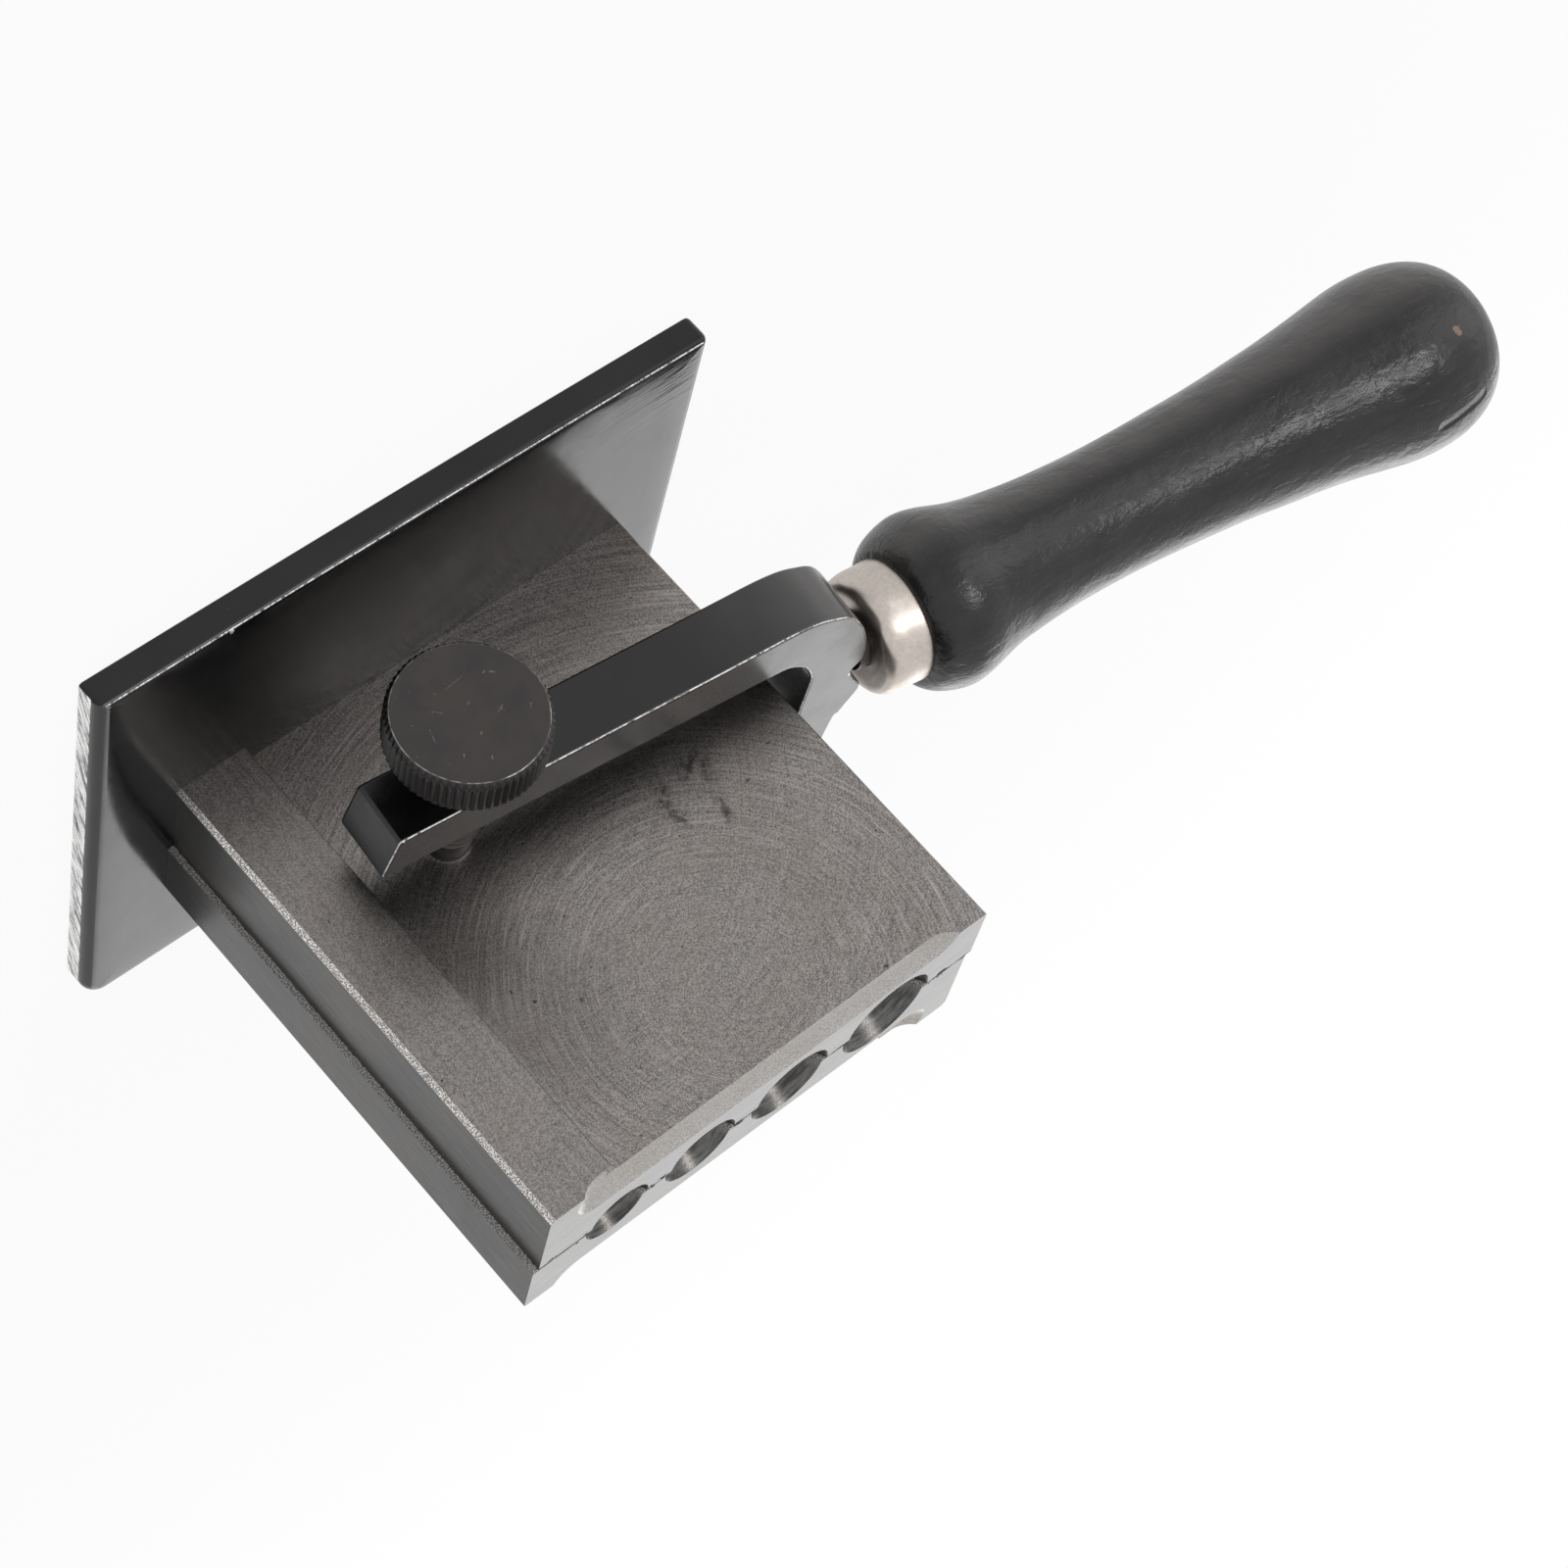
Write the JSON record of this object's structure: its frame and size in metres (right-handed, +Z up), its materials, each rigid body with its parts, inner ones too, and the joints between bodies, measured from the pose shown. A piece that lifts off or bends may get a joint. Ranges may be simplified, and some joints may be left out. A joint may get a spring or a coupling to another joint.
{
  "type": "ingot mould",
  "caption": "Split iron ingot mould for rods and sheet, held in a tilted clamp frame with a thumb screw, wooden handle and flat base plate.",
  "frame": {"origin": "middle of the base plate's underside", "axes": "+Z up, towards the pouring mouths; -Y towards the clamp screw; the handle points along -X and rises a little; +X is the open end of the clamp frame"},
  "size_m": [0.2328, 0.0831, 0.085],
  "materials": {
    "black_paint": "gloss black paint, chipped at the edges",
    "ground_iron": "ground and face-milled, warm grey, stained",
    "blackened_steel": "turned and blackened, worn bright on the edges",
    "plain_steel": "plain machine screw",
    "nickel_plate": "nickel plated, lightly dented",
    "black_wood": "black stained and lacquered, satin"
  },
  "bodies": {
    "frame": {"base_plate": "black_paint", "base_screws": "plain_steel", "clamp_frame": "black_paint", "handle_tang": "blackened_steel", "ferrule": "nickel_plate", "handle_grip": "black_wood"},
    "front_half": {"front_plate": "ground_iron"},
    "back_half": {"back_plate": "ground_iron"},
    "tip": {"pressure_tip": "blackened_steel"},
    "screw": {"clamp_screw": "blackened_steel", "screw_knob": "blackened_steel"}
  },
  "joints": [
    {"name": "screw_travel", "type": "slide", "parent": "frame", "child": "tip", "axis": [0, -1, 0], "range_m": [0, 0.0101]},
    {"name": "screw_turn", "type": "hinge", "parent": "tip", "child": "screw", "pos_m": [0.0118, -0.0303, 0.0312], "axis": [0, -1, 0], "range_deg": [0, 2880]},
    {"name": "front_plate_lift", "type": "slide", "parent": "frame", "child": "front_half", "axis": [0, 0, 1], "range_m": [0, 0.09]},
    {"name": "back_plate_lift", "type": "slide", "parent": "frame", "child": "back_half", "axis": [0, 0, 1], "range_m": [0, 0.09]}
  ],
  "couplings": [
    {"joint": "screw_travel", "follows": "screw_turn", "m_per_rad": 0.00019894}
  ]
}
